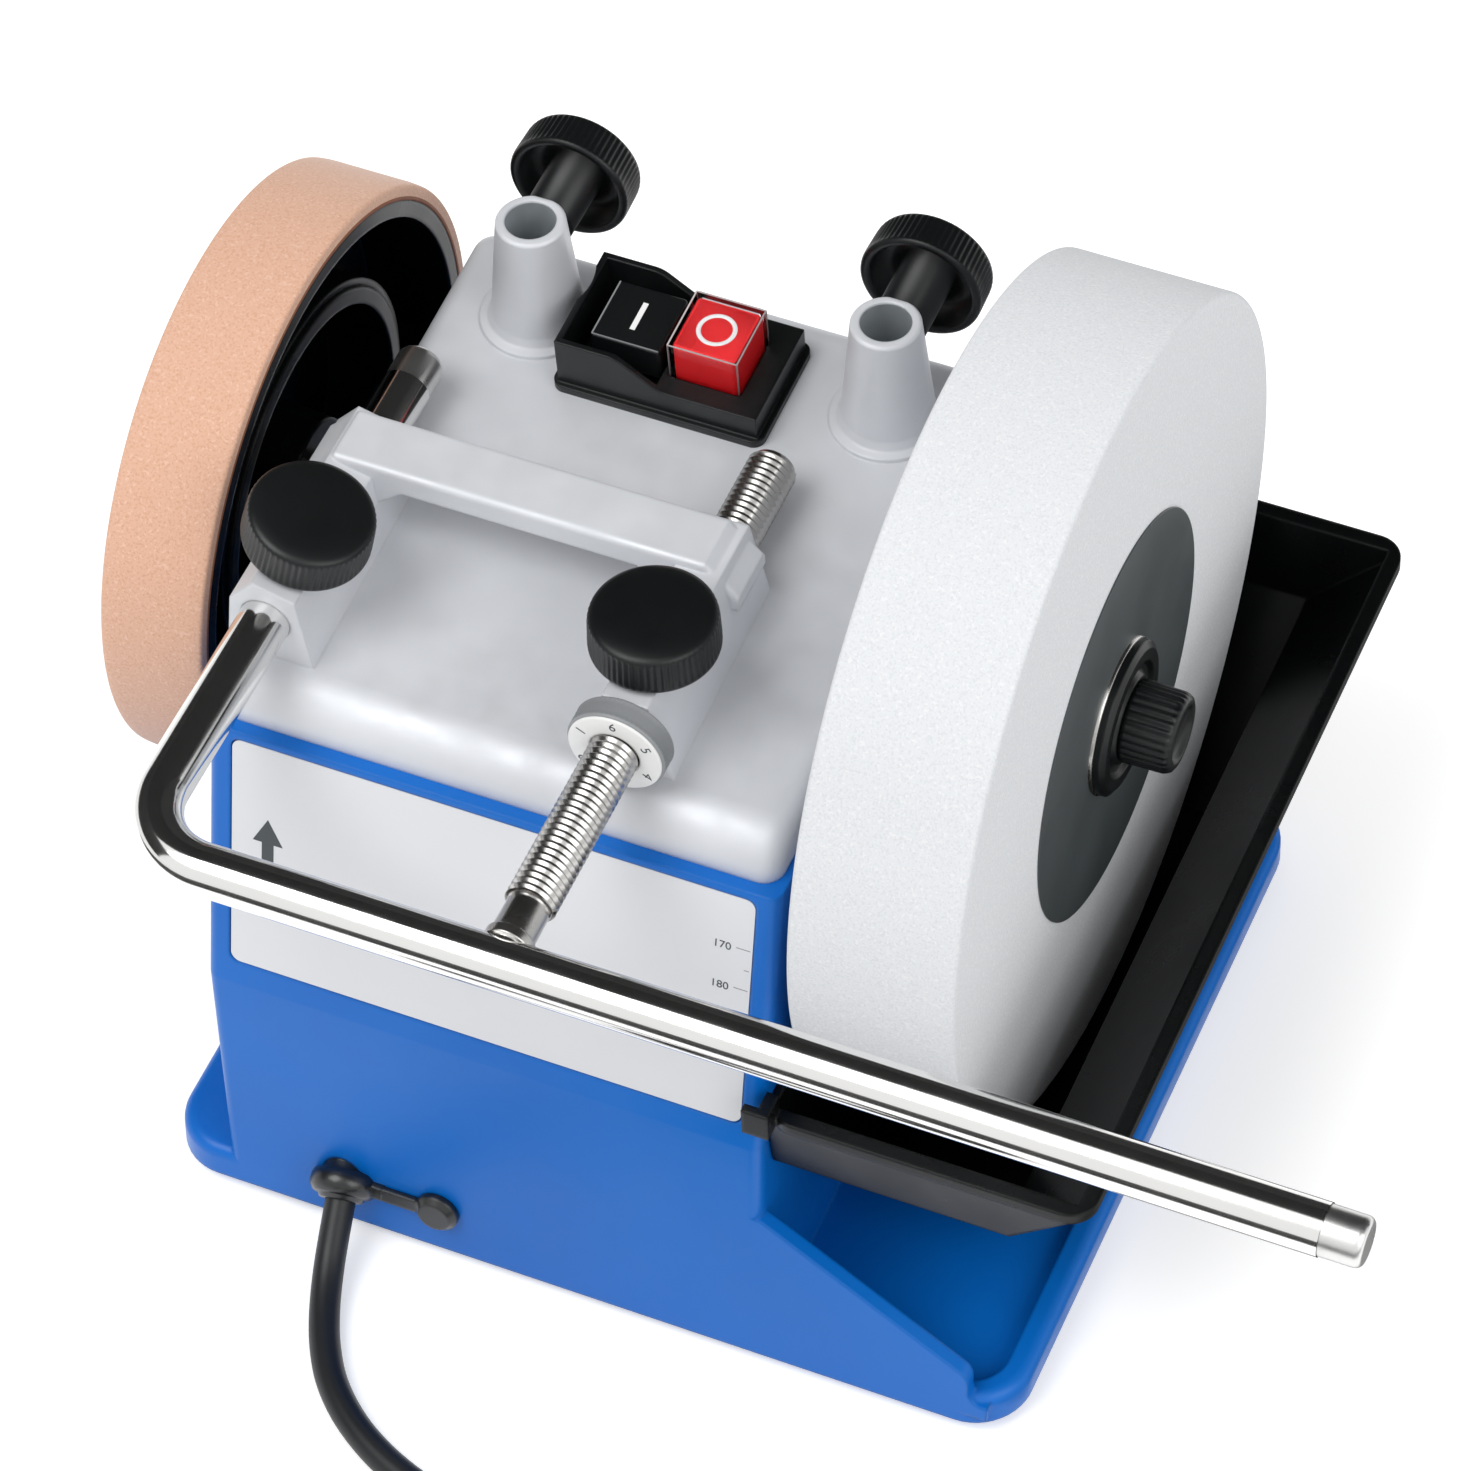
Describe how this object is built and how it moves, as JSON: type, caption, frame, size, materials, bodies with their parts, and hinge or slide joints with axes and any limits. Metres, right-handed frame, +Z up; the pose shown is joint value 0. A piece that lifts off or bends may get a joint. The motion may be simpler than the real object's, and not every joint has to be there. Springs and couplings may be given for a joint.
{
  "type": "wet grinding sharpener",
  "caption": "Bench wet sharpener: slow water-cooled grindstone in a trough, leather honing wheel, cast top with clamp sleeves and an adjustable tool-support bar.",
  "frame": {"origin": "centre of the base's footprint, on the surface that the feet stand on", "axes": "+X along the shaft from the honing wheel to the grindstone, +Y to the back, +Z up; the operator stands at -Y"},
  "size_m": [0.3463, 0.4155, 0.229],
  "materials": {
    "blue_plastic": "satin moulded plastic",
    "cast_silver": "satin die casting, fine texture",
    "front_panel": "plain pale plate with a satin finish",
    "black_plastic": "satin moulded plastic",
    "black_rubber": "matt rubber",
    "bright_bar": "bright plated rod",
    "steel": "turned steel",
    "stone": "fine open-grained abrasive, matt",
    "label": "bare printed label disc",
    "leather": "raw tan leather",
    "bearing": "plain bearing plastic",
    "dial_white": "printed dial",
    "button_red": "moulded, gloss",
    "clear_cap": "clear moulding",
    "motor_steel": "laminated steel",
    "winding": "enamelled wire",
    "cord_black": "matt sheath",
    "grey_plastic": "moulded plastic",
    "pin_metal": "plated pins"
  },
  "bodies": {
    "machine": {"housing": "blue_plastic", "bottom_cover": "black_plastic", "cover_screws": "steel", "rubber_feet": "black_rubber", "front_plate": "front_panel", "top_casting": "cast_silver", "bush_left": "bearing", "bush_right": "bearing", "motor_bracket": "steel", "motor_bushes": "bearing", "motor_stator": "motor_steel", "motor_windings": "winding", "terminal_block": "grey_plastic", "capacitor": "grey_plastic", "switch_body": "black_plastic", "cord_gland": "black_rubber", "gland_strap": "black_rubber", "cord_free": "cord_black", "cord_coil": "cord_black", "coil_tie": "black_plastic", "cord_tail": "cord_black", "plug_body": "black_rubber", "plug_pins": "pin_metal"},
    "shaft": {"main_shaft": "steel", "grindstone": "stone", "stone_label": "label", "inner_flange": "black_plastic", "outer_washer": "black_plastic", "honing_wheel": "black_plastic", "leather_band": "leather", "drive_ring": "black_rubber", "honing_washer": "steel", "honing_nut": "steel"},
    "hand_nut": {"stone_nut": "black_plastic"},
    "rotor": {"motor_rotor": "motor_steel", "motor_shaft": "steel", "friction_roller": "steel"},
    "support": {"support_bar": "bright_bar", "threaded_leg": "steel"},
    "height_nut": {"micro_nut": "grey_plastic", "micro_dial": "dial_white"},
    "start_button": {"on_button": "black_plastic"},
    "stop_button": {"off_button": "button_red", "button_cap": "clear_cap"},
    "trough": {"water_trough": "black_plastic"},
    "lock_front_left": {"knob_front_left": "black_plastic", "stud_front_left": "steel"},
    "lock_front_right": {"knob_front_right": "black_plastic", "stud_front_right": "steel"},
    "lock_rear_left": {"knob_rear_left": "black_plastic", "stud_rear_left": "steel"},
    "lock_rear_right": {"knob_rear_right": "black_plastic", "stud_rear_right": "steel"}
  },
  "joints": [
    {"name": "shaft_spin", "type": "hinge", "parent": "machine", "child": "shaft", "pos_m": [0, 0.019, 0.129], "axis": [1, 0, 0], "continuous": true},
    {"name": "rotor_spin", "type": "hinge", "parent": "machine", "child": "rotor", "pos_m": [0, 0.019, 0.0768], "axis": [1, 0, 0], "continuous": true},
    {"name": "stone_nut_turn", "type": "hinge", "parent": "shaft", "child": "hand_nut", "pos_m": [0.1, 0.019, 0.129], "axis": [1, 0, 0], "continuous": true},
    {"name": "support_slide", "type": "slide", "parent": "machine", "child": "support", "axis": [0, -1, 0], "range_m": [0, 0.06]},
    {"name": "height_nut_turn", "type": "hinge", "parent": "support", "child": "height_nut", "pos_m": [0.0044, -0.0613, 0.173], "axis": [0, -1, 0], "continuous": true},
    {"name": "front_left_knob_turn", "type": "hinge", "parent": "machine", "child": "lock_front_left", "pos_m": [-0.084, -0.041, 0.173], "axis": [0.2588, 0, 0.9659], "continuous": true},
    {"name": "front_right_knob_turn", "type": "hinge", "parent": "machine", "child": "lock_front_right", "pos_m": [0.0044, -0.041, 0.173], "axis": [0, 0, 1], "continuous": true},
    {"name": "rear_left_knob_turn", "type": "hinge", "parent": "machine", "child": "lock_rear_left", "pos_m": [-0.0681, 0.07, 0.1889], "axis": [0, 1, 0], "continuous": true},
    {"name": "rear_right_knob_turn", "type": "hinge", "parent": "machine", "child": "lock_rear_right", "pos_m": [0.0203, 0.07, 0.1889], "axis": [0, 1, 0], "continuous": true},
    {"name": "start_press", "type": "slide", "parent": "machine", "child": "start_button", "axis": [0, 0.0471, -0.9989], "range_m": [0, 0.003], "stiffness_N_per_m": 400, "springref_m": -0.003},
    {"name": "stop_press", "type": "slide", "parent": "machine", "child": "stop_button", "axis": [0, 0.0471, -0.9989], "range_m": [0, 0.004], "stiffness_N_per_m": 400, "springref_m": -0.003},
    {"name": "trough_lower", "type": "slide", "parent": "machine", "child": "trough", "axis": [0, 0, -1], "range_m": [0, 0.0137]}
  ],
  "couplings": [
    {"joint": "rotor_spin", "follows": "shaft_spin", "ratio": -11.975}
  ]
}
